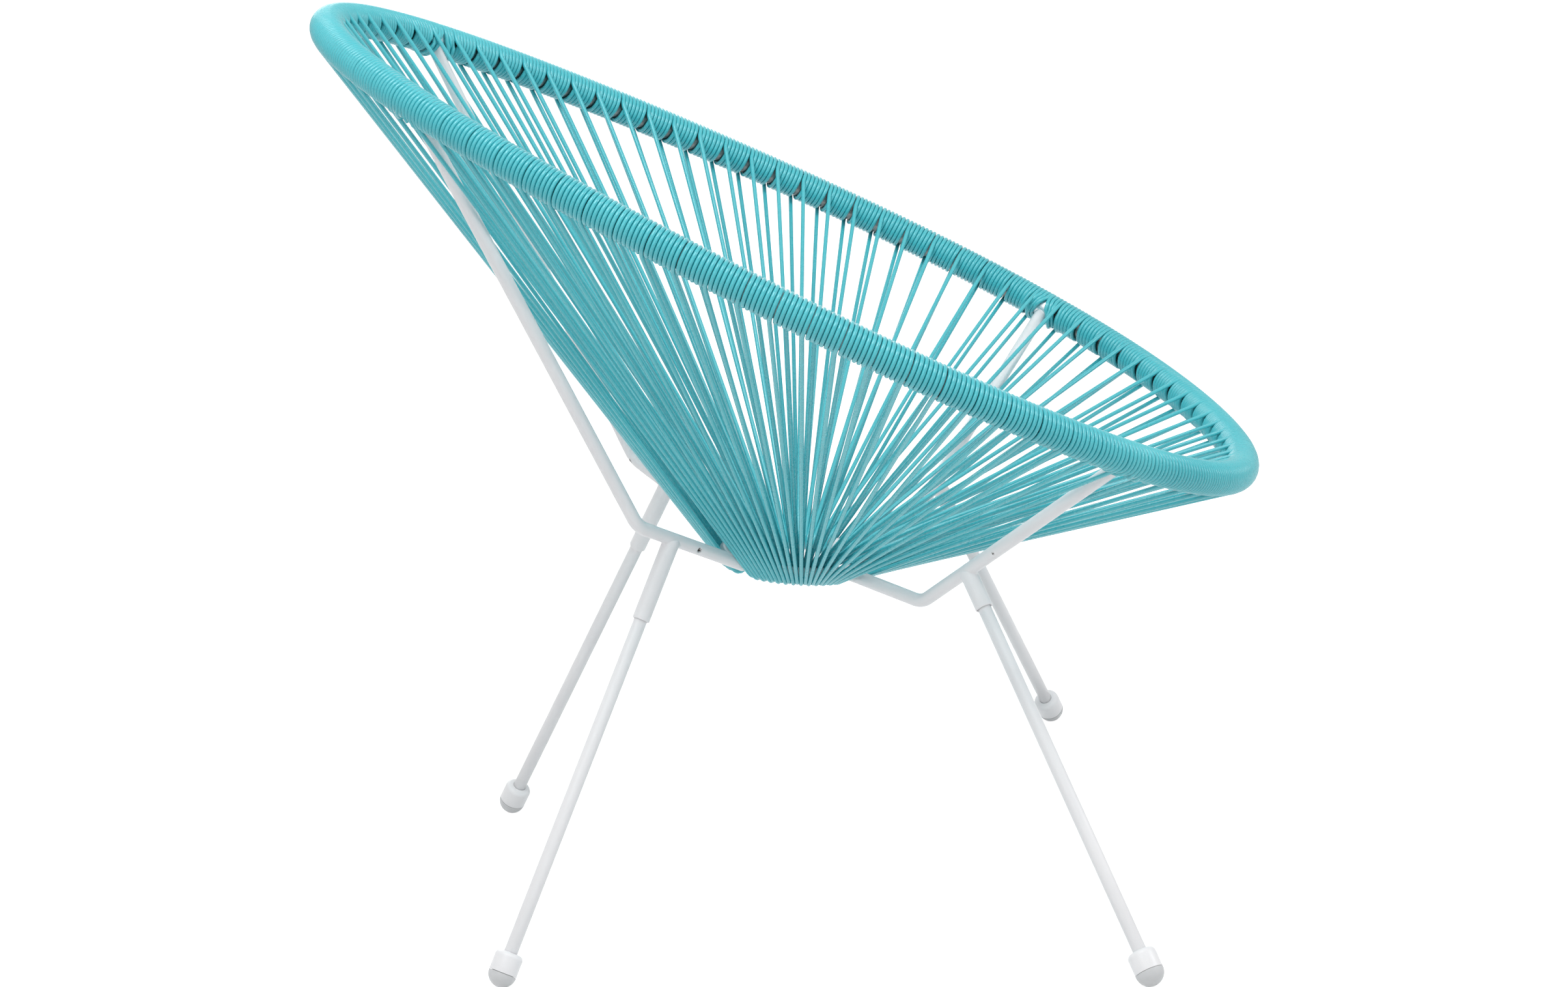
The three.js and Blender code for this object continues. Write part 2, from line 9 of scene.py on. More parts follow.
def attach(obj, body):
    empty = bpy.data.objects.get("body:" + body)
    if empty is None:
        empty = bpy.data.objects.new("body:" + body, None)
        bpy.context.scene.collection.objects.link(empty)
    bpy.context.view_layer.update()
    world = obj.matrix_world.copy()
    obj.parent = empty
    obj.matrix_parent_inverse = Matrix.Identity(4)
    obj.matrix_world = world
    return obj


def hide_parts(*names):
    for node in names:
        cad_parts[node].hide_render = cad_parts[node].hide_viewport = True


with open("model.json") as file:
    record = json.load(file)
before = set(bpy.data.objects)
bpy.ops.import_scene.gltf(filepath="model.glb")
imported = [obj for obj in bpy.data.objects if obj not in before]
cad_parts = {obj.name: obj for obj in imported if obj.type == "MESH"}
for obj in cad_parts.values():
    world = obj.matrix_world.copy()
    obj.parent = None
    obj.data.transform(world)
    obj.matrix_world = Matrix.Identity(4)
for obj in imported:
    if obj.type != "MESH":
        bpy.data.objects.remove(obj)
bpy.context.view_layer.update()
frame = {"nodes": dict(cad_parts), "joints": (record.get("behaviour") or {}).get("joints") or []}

# Acapulco chair: a hoop wound with turquoise cord, a cone of taut cords down to a small ring, four
# bent struts and four screw-in legs. Metres. X points forward, Y to the sitter's left, Z up.
MM = 0.001
FULL_TURN = 2 * math.pi

# Hoop: the seat rim, flat in a plane that leans back
HOOP_TUBE_DIAMETER = 22.2 * MM
HOOP_HALF_LENGTH = 443.9 * MM
HOOP_HALF_WIDTH = 372.7 * MM
HOOP_CENTRE_HEIGHT = 582.8 * MM
HOOP_LEAN = math.radians(30.2)
HOOP_FRONT_WIDTH_SHARE = 0.165
HOOP_SHOULDER_WIDTH_SHARE = 0.051

# Cord: one round cord winds round the hoop and runs down to the ring and back at each station
CORD_DIAMETER = 4 * MM
STATION_PITCH = 29.3 * MM
TURNS_PER_STATION = 7
BUNDLE_GAP = 0.35 * MM
BUNDLE_GAP_SPREAD = 0.3 * MM
KNEE_REACH = 5.0 * MM
KNEE_REACH_RISE = 3.0 * MM
KNEE_STEEPEST = 1.5
KNEE_HALF_LENGTH = 3.2 * MM
LOOP_STACK = 2.5 * MM
END_TURN = math.radians(15)
PARTING_REACH = 24 * MM
PARTING_TURN = math.radians(92)
PARTING_CLEARANCE = 0.4 * MM
LEAST_TURN = 0.01
LAYER_EDGE_SHARE = 1 / 3
CORD_SEEDS = {"front": 11, "left": 12, "back": 13, "right": 14}

# Lower ring: the strands turn round it
RING_RADIUS = 62.9 * MM
RING_ROD_DIAMETER = 12 * MM
RING_CENTRE_X = -17.4 * MM
RING_CENTRE_HEIGHT = 295.3 * MM
RING_TILT = math.radians(9.3)
RING_LOOP_MARGIN = 8 * MM

# Struts: round rods with one bend, from the hoop down and in to the ring
STRUT_DIAMETER = 12 * MM
STRUT_BEND_RADIUS = 24 * MM
STRUT_RING_SETBACK_SHARE = 0.5
STRUTS = {
    "front": {
        "hoop_angle": math.radians(49), "ring_angle": math.radians(48),
        "bend": np.array((86.1, 113.9, 274.2)) * MM,
        "socket_length": 37 * MM, "socket_share": 0.769, "socket_below_bend": False,
    },
    "back": {
        "hoop_angle": math.radians(143.3), "ring_angle": math.radians(138),
        "bend": np.array((-154.9, 124.2, 367.4)) * MM,
        "socket_length": 76 * MM, "socket_share": 0.322, "socket_below_bend": True,
    },
}
SIDES = {"left": 1, "right": -1}
VENT_HOLE_DIAMETER = 4 * MM
VENT_HOLE_DEPTH = 3 * MM
VENT_HOLE_DISTANCE = 74 * MM
VENT_HOLE_EDGE = 0.5 * MM
VENT_ROW_PITCH = 0.25 * MM

# Sockets, legs and feet
SOCKET_DIAMETER = 15.6 * MM
SOCKET_BORE = 12.8 * MM
SOCKET_RIM_RADIUS = 0.9 * MM
SOCKET_BORE_REACH = 7.6 * MM
WELD_LEG = 3.2 * MM
WELD_SIDE_DROP = 2.4 * MM
WELD_SIDE_TURN = math.radians(84)
WELD_RIPPLE = 0.12 * MM
WELD_RIPPLES = 26
WELD_TURN_POWER = 1.5
WELD_FOLD_SHARE = 0.8
LEG_DIAMETER = 12 * MM
LEG_CHAMFER = 1 * MM
LEG_TOP_DROP = 20.7 * MM
STUD_BORE = 8.6 * MM
STUD_HOLD_DEPTH = 14 * MM
FOOT_HEIGHT = 12 * MM
GLIDE_DIAMETER = 25 * MM
FERRULE_HEIGHT = 19 * MM
FERRULE_EDGE_RADIUS = 4.5 * MM
FERRULE_SEAM = 0.35 * MM
FERRULE_LIP_RADIUS = 0.5 * MM
FERRULE_BORE_CLEARANCE = 0.25 * MM
GLIDE_SPIGOT_DIAMETER = 19 * MM
GLIDE_SPIGOT_HEIGHT = 6 * MM

# Fineness
SHARP_ANGLE = math.radians(50)
CORD_SHARP_ANGLE = math.radians(80)
CORD_SIDES = 8
TURN_STEPS = 24
STRAND_STEPS = 12
KNEE_STEPS = 6
RING_TURN_STEPS = 10
ROD_SIDES = 32
VENT_ROD_SIDES = 128
BEND_STEPS = 14
HOOP_STEPS = 480
RING_STEPS = 120
LATHE_SIDES = 48
SADDLE_STEPS = 8
RIM_STEPS = 4
FERRULE_EDGE_STEPS = 10
DOME_STEPS = 16
TABLE_STEPS = 7200
PARTING_STEPS = 720
PARTING_EASE_STEPS = 31
TANGENT_PASSES = 5

# Camera: pose and lens that bring the chair to the photograph's frame. Sensor and lens in mm
IMAGE_WIDTH = 2408
FOCAL_PIXELS = 6160.7
SENSOR_WIDTH = 36.0
CAMERA_PLACE = np.array((-117.2, -3478.2, 1245.6)) * MM
CAMERA_YAW = 0.027
CAMERA_PITCH = 0.251
CAMERA_ROLL = -0.082

# Sizes that follow
TUBE_RADIUS = HOOP_TUBE_DIAMETER / 2
CORD_RADIUS = CORD_DIAMETER / 2
ROD_RADIUS = RING_ROD_DIAMETER / 2
STRUT_RADIUS = STRUT_DIAMETER / 2
LEG_RADIUS = LEG_DIAMETER / 2
GLIDE_RADIUS = GLIDE_DIAMETER / 2
WOUND_RADIUS = TUBE_RADIUS + CORD_RADIUS
LOOP_RADIUS = ROD_RADIUS + CORD_RADIUS

LEFT = np.array((0.0, 1.0, 0.0))
HOOP_FORWARD = np.array((math.cos(HOOP_LEAN), 0.0, -math.sin(HOOP_LEAN)))
HOOP_UP = np.array((math.sin(HOOP_LEAN), 0.0, math.cos(HOOP_LEAN)))
HOOP_CENTRE = np.array((0.0, 0.0, HOOP_CENTRE_HEIGHT))
RING_FORWARD = np.array((math.cos(RING_TILT), 0.0, -math.sin(RING_TILT)))
RING_UP = np.array((math.sin(RING_TILT), 0.0, math.cos(RING_TILT)))
RING_CENTRE = np.array((RING_CENTRE_X, 0.0, RING_CENTRE_HEIGHT))
PARTING_TURNS = np.linspace(-math.pi, math.pi, PARTING_STEPS + 1)


def unit(vectors):
    """Vectors at length one."""
    return vectors / np.linalg.norm(vectors, axis=-1, keepdims=True)


def dot(a, b):
    """Row by row product of two sets of vectors, kept as a column."""
    return np.sum(a * b, axis=-1, keepdims=True)


# Meshes
def make_piece(name, points, faces, material, body, replaced, sharp=SHARP_ANGLE):
    """A named object from points and faces, smooth but for edges sharper than the angle. It rides
    on a body and stands for the replaced nodes."""
    mesh = bpy.data.meshes.new(name)
    mesh.from_pydata(points.tolist(), [], faces)
    mesh.validate()
    mesh.shade_smooth()
    mesh.set_sharp_from_angle(angle=sharp)
    mesh.materials.append(material)
    piece = bpy.data.objects.new(name, mesh)
    bpy.context.scene.collection.objects.link(piece)
    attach(piece, body)
    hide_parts(*replaced)


def grid_faces(rows, columns, wrap_rows=False):
    """Four-cornered faces of a grid whose columns close on themselves. Rows may close too."""
    row = np.arange(rows if wrap_rows else rows - 1)[:, None]
    column = np.arange(columns)[None, :]
    following = (row + 1) % rows
    beside = (column + 1) % columns
    faces = np.stack(
        (row * columns + column, row * columns + beside,
         following * columns + beside, following * columns + column), axis=-1)
    return faces.reshape(-1, 4).tolist()


def tube_mesh(path, normals, radius, sides, closed=False):
    """A tube: at each point of the path, a circle in the plane of the normal and of the direction
    square to both the normal and the path. Open tubes end in flat caps."""
    if closed:
        tangents = unit(np.roll(path, -1, axis=0) - np.roll(path, 1, axis=0))
    else:
        tangents = unit(np.gradient(path, axis=0))
    normals = unit(normals - tangents * dot(normals, tangents))
    across = np.cross(tangents, normals)
    angle = np.arange(sides) / sides * FULL_TURN
    circle = (np.cos(angle)[None, :, None] * normals[:, None, :]
              + np.sin(angle)[None, :, None] * across[:, None, :])
    points = (path[:, None, :] + radius * circle).reshape(-1, 3)
    faces = grid_faces(len(path), sides, closed)
    if not closed:
        last = (len(path) - 1) * sides
        faces.append(list(range(sides))[::-1])
        faces.append(list(range(last, last + sides)))
    return points, faces


def lathe_mesh(profile, sides, place, axis):
    """A closed round piece: the profile's radius and height turn round an axis through a place.
    The profile starts and ends on the axis, where its ring is one point."""
    axis = unit(np.asarray(axis, float))
    first = unit(np.cross(axis, HOOP_FORWARD))
    second = np.cross(axis, first)
    angle = np.arange(sides) / sides * FULL_TURN
    around = np.cos(angle)[:, None] * first + np.sin(angle)[:, None] * second
    profile = np.asarray(profile)
    body = profile[1:-1]
    rings = (place + body[:, 1, None, None] * axis
             + body[:, 0, None, None] * around[None, :, :]).reshape(-1, 3)
    ends = place + profile[[0, -1], 1, None] * axis
    return close_poles(rings, ends, len(body), sides)


def close_poles(rings, ends, rows, sides):
    """Faces of stacked rings closed by a point at each end."""
    points = np.vstack((rings, ends))
    faces = grid_faces(rows, sides)
    first, last = len(rings), len(rings) + 1
    top = (rows - 1) * sides
    for side in range(sides):
        beside = (side + 1) % sides
        faces.append([first, beside, side])
        faces.append([last, top + side, top + beside])
    return points, faces


def arc_profile(radius_at, height_at, radius, start, end, steps):
    """Profile points on a circle about a radius and height, from one angle to another."""
    angle = np.linspace(start, end, steps + 1)
    return list(zip(radius_at + radius * np.cos(angle), height_at + radius * np.sin(angle)))


# Hoop centre line
def hoop_curve(angle):
    """Hoop centre line and its rate: half length times the cosine forward, half width times the
    sine to the left, widened in front and squared at the shoulders."""
    cos, sin = np.cos(angle)[:, None], np.sin(angle)[:, None]
    double_cos, double_sin = np.cos(2 * angle)[:, None], np.sin(2 * angle)[:, None]
    widen = 1 + HOOP_FRONT_WIDTH_SHARE * cos + HOOP_SHOULDER_WIDTH_SHARE * double_cos
    thin = HOOP_FRONT_WIDTH_SHARE * sin + 2 * HOOP_SHOULDER_WIDTH_SHARE * double_sin
    point = (HOOP_CENTRE + HOOP_HALF_LENGTH * cos * HOOP_FORWARD
             + HOOP_HALF_WIDTH * sin * widen * LEFT)
    rate = (-HOOP_HALF_LENGTH * sin * HOOP_FORWARD
            + HOOP_HALF_WIDTH * (cos * widen - sin * thin) * LEFT)
    return point, rate


TABLE_ANGLES = np.linspace(0, FULL_TURN, TABLE_STEPS + 1)
TABLE_POINTS, _ = hoop_curve(TABLE_ANGLES)
TABLE_LENGTHS = np.concatenate(
    ([0.0], np.cumsum(np.linalg.norm(np.diff(TABLE_POINTS, axis=0), axis=1))))
HOOP_PERIMETER = TABLE_LENGTHS[-1]


def hoop_frame(length):
    """Point, tangent and outward direction of the hoop's centre line at lengths along it."""
    angle = np.interp(np.mod(length, HOOP_PERIMETER), TABLE_LENGTHS, TABLE_ANGLES)
    point, rate = hoop_curve(np.atleast_1d(angle))
    tangent = unit(rate)
    return point, tangent, np.cross(tangent, HOOP_UP)


def hoop_length(angle):
    """Length along the hoop at an angle."""
    return float(np.interp(angle, TABLE_ANGLES, TABLE_LENGTHS))


def round_hoop(length, turn, radius):
    """Points at a radius from the hoop's centre line, and the directions to them. The turn runs
    from the top over the outside."""
    point, _, outward = hoop_frame(length)
    turn = np.atleast_1d(turn)[:, None]
    radial = np.cos(turn) * HOOP_UP + np.sin(turn) * outward
    return point + np.atleast_1d(radius)[:, None] * radial, radial


def ring_outward(angle):
    """Direction from the ring's centre at an angle."""
    return math.cos(angle) * RING_FORWARD + math.sin(angle) * LEFT


def round_ring(angle, turn, radius):
    """Points at a radius from the ring's centre line, as round_hoop gives them for the hoop."""
    angle = np.atleast_1d(angle)[:, None]
    turn = np.atleast_1d(turn)[:, None]
    outward = np.cos(angle) * RING_FORWARD + np.sin(angle) * LEFT
    radial = np.cos(turn) * RING_UP + np.sin(turn) * outward
    radius = np.atleast_1d(radius)[:, None]
    return RING_CENTRE + RING_RADIUS * outward + radius * radial, radial


# Struts
def mirrored(point, sign):
    """A point of the left side, or its twin on the right."""
    return np.array((point[0], point[1] * sign, point[2]))


def strut_corners(place, sign):
    """Top, bend and end of a strut's centre line."""
    plan = STRUTS[place]
    top = hoop_curve(np.array([plan["hoop_angle"]]))[0][0]
    direction = ring_outward(plan["ring_angle"])
    reach = RING_RADIUS + ROD_RADIUS * STRUT_RING_SETBACK_SHARE
    end = RING_CENTRE + reach * direction
    return [mirrored(corner, sign) for corner in (top, plan["bend"], end)]


def bent_path(corners, bend_radius):
    """Straight runs joined by one arc that touches both."""
    first, corner, last = corners
    back, on = unit(first - corner), unit(last - corner)
    half = math.acos(float(back @ on)) / 2
    centre = corner + unit(back + on) * bend_radius / math.sin(half)
    start = corner + back * bend_radius / math.tan(half) - centre
    axis = unit(np.cross(on, back))
    angle = np.linspace(0, math.pi - 2 * half, BEND_STEPS + 1)[:, None]
    arc = centre + np.cos(angle) * start + np.sin(angle) * np.cross(axis, start)
    return np.vstack((first, arc, last))


def vent_hole():
    """Middle of the drain hole in the skin of the back right strut, the direction along the rod
    there, and the one that the hole faces."""
    _, bend, end = strut_corners("back", SIDES["right"])
    along = unit(end - bend)
    facing = unit(np.cross(along, HOOP_UP))
    facing = -facing if facing[1] > 0 else facing
    return bend + along * VENT_HOLE_DISTANCE + facing * STRUT_RADIUS, along, facing


VENT_PLACE, VENT_ALONG, VENT_FACING = vent_hole()


def strut_crossing(place):
    """Where a strut comes out of the winding: length along the hoop and turn. Also its direction
    there: the turn it points to, and its part square to the hoop."""
    top, bend, _ = strut_corners(place, 1)
    down = unit(bend - top)
    at = hoop_length(STRUTS[place]["hoop_angle"])
    for _ in range(TANGENT_PASSES):
        point, tangent, outward = (item[0] for item in hoop_frame(at))
        arm = top - point - tangent * ((top - point) @ tangent)
        slope = down - tangent * (down @ tangent)
        lean = arm @ slope
        rest = (slope @ slope) * (WOUND_RADIUS ** 2 - arm @ arm)
        reach = (math.sqrt(lean ** 2 + rest) - lean) / (slope @ slope)
        crossing = top + down * reach - point
        at += float(crossing @ tangent)
    turn = math.atan2(crossing @ outward, crossing @ HOOP_UP) % FULL_TURN
    heading = math.atan2(slope @ outward, slope @ HOOP_UP)
    return {"length": at, "turn": turn, "heading": heading, "square": np.linalg.norm(slope),
            "along": float(down @ tangent)}


# Runs of cord between the struts
CROSSINGS = {place: strut_crossing(place) for place in STRUTS}
FRONT_PARTING, BACK_PARTING = CROSSINGS["front"]["length"], CROSSINGS["back"]["length"]
FRONT_RING, BACK_RING = STRUTS["front"]["ring_angle"], STRUTS["back"]["ring_angle"]
RUNS = {
    "front": {"start": -FRONT_PARTING, "end": FRONT_PARTING, "advance": 1, "lacing": 3,
              "ring_from": -FRONT_RING, "ring_to": FRONT_RING},
    "left": {"start": FRONT_PARTING, "end": BACK_PARTING, "advance": -1, "lacing": 4,
             "ring_from": FRONT_RING, "ring_to": BACK_RING},
    "back": {"start": BACK_PARTING, "end": HOOP_PERIMETER - BACK_PARTING, "advance": 1,
             "lacing": 3, "ring_from": BACK_RING, "ring_to": FULL_TURN - BACK_RING},
    "right": {"start": HOOP_PERIMETER - BACK_PARTING, "end": HOOP_PERIMETER - FRONT_PARTING,
              "advance": 1, "lacing": 4,
              "ring_from": FULL_TURN - BACK_RING, "ring_to": FULL_TURN - FRONT_RING},
}


def parting_table(crossing):
    """Middle and half width of the gap that the turns leave for a strut, for a table of turns away
    from its own. Beside the rod the gap is the rod's outline on the winding, and beyond it the
    turns run straight back to their places."""
    seat = crossing["turn"] - crossing["heading"]
    turn = PARTING_TURNS + crossing["turn"] - crossing["heading"]
    beside = WOUND_RADIUS * (np.sin(turn) - math.sin(seat))
    ahead = WOUND_RADIUS * (np.cos(turn) - math.cos(seat))
    reach = STRUT_RADIUS + CORD_RADIUS + PARTING_CLEARANCE
    width = np.sqrt(np.clip(reach ** 2 - beside ** 2, 0, None)) / crossing["square"]
    width[np.cos(turn) < 0] = 0
    left = np.clip(PARTING_TURN - np.abs(PARTING_TURNS), 0, None)
    for half in (PARTING_TURNS >= 0, PARTING_TURNS <= 0):
        steepness = np.where(half & (left > 0), width / np.maximum(left, LEAST_TURN), 0)
        touch = np.argmax(steepness)
        beyond = half & (np.abs(PARTING_TURNS) >= abs(PARTING_TURNS[touch]))
        width[beyond] = steepness[touch] * left[beyond]
    window = np.hanning(PARTING_EASE_STEPS + 2)[1:-1]
    width = np.convolve(width, window / window.sum(), mode="same")
    return ahead * crossing["along"] / crossing["square"], width


PARTINGS = []
for crossing in CROSSINGS.values():
    middle, width = parting_table(crossing)
    PARTINGS.append((crossing["length"], crossing["turn"], middle, width))
    PARTINGS.append((HOOP_PERIMETER - crossing["length"], crossing["turn"], -middle, width))


def part_round_struts(length, turn, layer):
    """Turns near a strut move apart to pass it on both sides, and the turns within reach close up
    and lie in two layers."""
    moved, lifted = length.copy(), np.zeros_like(length)
    for at, seat_turn, middles, widths in PARTINGS:
        offset = (length - at + HOOP_PERIMETER / 2) % HOOP_PERIMETER - HOOP_PERIMETER / 2
        away = (turn - seat_turn + math.pi) % FULL_TURN - math.pi
        width = np.interp(away, PARTING_TURNS, widths)
        middle = np.interp(away, PARTING_TURNS, middles) * width / widths.max()
        near = np.clip(1 - np.abs(offset) / PARTING_REACH, 0, 1)
        side = np.where(offset < 0, -1.0, 1.0)
        moved += (side * width + middle) * near
        squeeze = 1 - width / PARTING_REACH
        spacing = np.minimum(STATION_PITCH / TURNS_PER_STATION * squeeze, CORD_DIAMETER)
        rise = np.sqrt(CORD_DIAMETER ** 2 - spacing ** 2)
        lifted += layer * rise * np.clip(near / LAYER_EDGE_SHARE, 0, 1)
    return moved, lifted


def lay_strand(length, angle, layer, pitch_slope):
    """A strand between winding and ring. Seen along the hoop it is a straight line that touches
    the winding and the ring, over them (layer 1) or under them (layer -1). Along the hoop it keeps
    its turn's own slope until it is clear of the turn beside it, bends there, and runs straight.
    Gives its path from the hoop to the ring, the directions away from both, its turns on both,
    and its slope along the ring."""
    own_slope = -layer * pitch_slope / WOUND_RADIUS
    hoop_turn = middle_turn = 0 if layer > 0 else math.pi
    ring_side = ring_outward(angle)
    ring_tangent = np.cross(RING_UP, ring_side)
    ring_point = RING_CENTRE + RING_RADIUS * ring_side
    low, knee = ring_point, hoop_frame(length)[0][0]
    for _ in range(TANGENT_PASSES):
        at = np.array([length + pitch_slope * (hoop_turn - middle_turn)])
        at, _ = part_round_struts(at, np.array([hoop_turn]), np.array([0]))
        point, tangent, outward = (item[0] for item in hoop_frame(at))
        along = unit(knee - low)
        hoop_radial = layer * unit((along @ outward) * HOOP_UP - (along @ HOOP_UP) * outward)
        ring_radial = layer * unit((along @ ring_side) * RING_UP - (along @ RING_UP) * ring_side)
        hoop_turn = math.atan2(hoop_radial @ outward, hoop_radial @ HOOP_UP)
        hoop_turn += FULL_TURN * round((middle_turn - hoop_turn) / FULL_TURN)
        high = point + WOUND_RADIUS * hoop_radial
        low = ring_point + LOOP_RADIUS * ring_radial
        drop = low - high
        away = unit(drop - tangent * (drop @ tangent))
        reach = drop @ away
        lean = abs((drop @ tangent) / reach)
        bend = KNEE_REACH + KNEE_REACH_RISE * min(lean, KNEE_STEEPEST)
        slope = (drop @ tangent - own_slope * bend) / (reach - bend)
        knee = high + away * bend + tangent * own_slope * bend
    start, stop = bend - KNEE_HALF_LENGTH, bend + KNEE_HALF_LENGTH
    place = np.concatenate((np.linspace(start, stop, KNEE_STEPS + 1),
                            np.linspace(stop, reach, STRAND_STEPS + 1)[1:-1]))
    past = np.clip(place, start, stop) - start
    aside = own_slope * np.minimum(place, stop)
    aside = aside + (slope - own_slope) * past ** 2 / (2 * (stop - start))
    aside = aside + slope * np.maximum(place - stop, 0)
    path = high + place[:, None] * away + aside[:, None] * tangent
    share = (place / reach)[:, None]
    normals = unit(hoop_radial * (1 - share) + ring_radial * share)
    ring_turn = math.atan2(ring_radial @ ring_side, ring_radial @ RING_UP)
    along = unit(path[-1] - low)
    ring_slope = (along @ ring_tangent) / math.sqrt(1 - (along @ ring_tangent) ** 2)
    return path, normals, hoop_turn, ring_turn, ring_slope


def cord_route(run, seed):
    """The route of a run's cord, with the direction away from what it lies on at each point.
    At each station it comes up from the ring over the hoop's top, winds round the hoop, leaves
    under it, and goes down to the ring and round its inner side."""
    length = run["end"] - run["start"]
    stations = round(length / STATION_PITCH)
    pitch = length / stations
    step = pitch / TURNS_PER_STATION
    advance = run["advance"]
    origin = run["start"] if advance > 0 else run["end"]
    margin = RING_LOOP_MARGIN / RING_RADIUS
    ring_from, ring_to = run["ring_from"] + margin, run["ring_to"] - margin
    pitch_slope = advance * step / FULL_TURN
    half_turns = (TURNS_PER_STATION - 0.5) * FULL_TURN
    random = np.random.default_rng(seed)
    gap = BUNDLE_GAP + BUNDLE_GAP_SPREAD * random.uniform(-1, 1, stations + 2)
    half_gap = step / 4 + gap / 2
    centre = origin + advance * pitch * (np.arange(stations + 2) - 0.5)

    overs, unders, angles = [], [], []
    for station in range(1, stations + 1):
        share = (station - 0.5) / stations
        ring_share = share if advance > 0 else 1 - share
        angle = ring_from + (ring_to - ring_from) * ring_share
        over_at = centre[station] + advance * half_gap[station]
        under_at = centre[station] - advance * half_gap[station]
        angles.append(angle)
        overs.append(lay_strand(over_at, angle, 1, pitch_slope))
        unders.append(lay_strand(under_at, angle, -1, pitch_slope))

    points, normals = [], []

    def wind(bundle, first, last):
        """Turns of one bundle, from its first turn to its last, both as angles from its top."""
        count = max(2, round((last - first) / FULL_TURN * TURN_STEPS))
        turn = np.linspace(first, last, count + 1)
        begin = centre[bundle] + advance * half_gap[bundle]
        end = centre[bundle + 1] - advance * half_gap[bundle + 1]
        place = begin + (end - begin) * turn / half_turns
        layer = np.floor((turn + math.pi / 2) / FULL_TURN) % 2
        place, lifted = part_round_struts(place, turn, layer)
        path, radial = round_hoop(place, turn, WOUND_RADIUS + lifted)
        points.append(path)
        normals.append(radial)

    def loop_round_ring(station, under, over):
        """Half a turn round the ring's inner side. Along the ring it curves from the slope of one
        strand to that of the other, and every second loop rides up on its neighbours."""
        share = np.linspace(0, 1, RING_TURN_STEPS + 1)
        first, last = under[3] % FULL_TURN, over[3] % FULL_TURN
        first = first if first < last else first - FULL_TURN
        turn = first + (last - first) * share
        around = LOOP_RADIUS * (last - first)
        aside = around * (over[4] * (share ** 3 - share ** 2)
                          - under[4] * (share ** 3 - 2 * share ** 2 + share))
        radius = LOOP_RADIUS + (station % 2) * LOOP_STACK * np.sin(share * math.pi) ** 2
        path, radial = round_ring(angles[station] + aside / RING_RADIUS, turn, radius)
        points.append(path)
        normals.append(radial)

    middle = (TURNS_PER_STATION / 2) * FULL_TURN
    for bundle in range(stations + 1):
        first = overs[bundle - 1][2] if bundle > 0 else middle + END_TURN
        if bundle == stations:
            wind(bundle, first, middle - END_TURN)
            break
        under, over = unders[bundle], overs[bundle]
        wind(bundle, first, half_turns - math.pi + under[2])
        points.append(under[0])
        normals.append(under[1])
        loop_round_ring(bundle, under, over)
        points.append(over[0][::-1])
        normals.append(over[1][::-1])
    return np.vstack(points), np.vstack(normals)


# Materials
def new_material(name):
    """A node material with only a Principled shader and an output."""
    material = bpy.data.materials.new(name)
    material.use_nodes = True
    shader = material.node_tree.nodes["Principled BSDF"]
    return material, material.node_tree.nodes, material.node_tree.links, shader


def noise(nodes, links, scale, detail=3.0, roughness=0.55):
    """Noise on the piece's own coordinates."""
    place = nodes.new("ShaderNodeTexCoord")
    texture = nodes.new("ShaderNodeTexNoise")
    texture.inputs["Scale"].default_value = scale
    texture.inputs["Detail"].default_value = detail
    texture.inputs["Roughness"].default_value = roughness
    links.new(place.outputs["Object"], texture.inputs["Vector"])
    return texture


def ramp(nodes, links, source, stops):
    """Colour ramp over a factor: pairs of place and colour."""
    node = nodes.new("ShaderNodeValToRGB")
    elements = node.color_ramp.elements
    while len(elements) < len(stops):
        elements.new(0.5)
    for element, (place, colour) in zip(elements, stops):
        element.position = place
        element.color = (*colour, 1)
    links.new(source, node.inputs["Fac"])
    return node


def roughness_range(nodes, links, source, low, high):
    """Factor mapped to a roughness between two values."""
    node = nodes.new("ShaderNodeMapRange")
    node.inputs["From Min"].default_value = 0.3
    node.inputs["From Max"].default_value = 0.7
    node.inputs["To Min"].default_value = low
    node.inputs["To Max"].default_value = high
    links.new(source, node.inputs["Value"])
    return node


def bump(nodes, links, shader, source, distance, strength):
    """Fine relief."""
    node = nodes.new("ShaderNodeBump")
    node.inputs["Distance"].default_value = distance
    node.inputs["Strength"].default_value = strength
    links.new(source, node.inputs["Height"])
    links.new(node.outputs["Normal"], shader.inputs["Normal"])


def combine(nodes, links, operation, first, second):
    """Two factors joined by the named operation."""
    node = nodes.new("ShaderNodeMath")
    node.operation = operation
    links.new(first, node.inputs[0])
    links.new(second, node.inputs[1])
    return node.outputs[0]


def spot_mask(nodes, links, place, radius):
    """One at a place on the piece, falling to zero at a radius."""
    here = nodes.new("ShaderNodeTexCoord")
    apart = nodes.new("ShaderNodeVectorMath")
    apart.operation = "DISTANCE"
    links.new(here.outputs["Object"], apart.inputs[0])
    apart.inputs[1].default_value = place
    fade = nodes.new("ShaderNodeMapRange")
    fade.inputs["From Min"].default_value = 0
    fade.inputs["From Max"].default_value = radius
    fade.inputs["To Min"].default_value = 1
    fade.inputs["To Max"].default_value = 0
    links.new(apart.outputs["Value"], fade.inputs["Value"])
    return fade.outputs["Result"]


def spots(nodes, links, marks):
    """The strongest of several spot masks."""
    strongest = None
    for mark in marks:
        spot = spot_mask(nodes, links, mark["place"], mark["radius"])
        strongest = combine(nodes, links, "MAXIMUM", strongest, spot) if strongest else spot
    return strongest


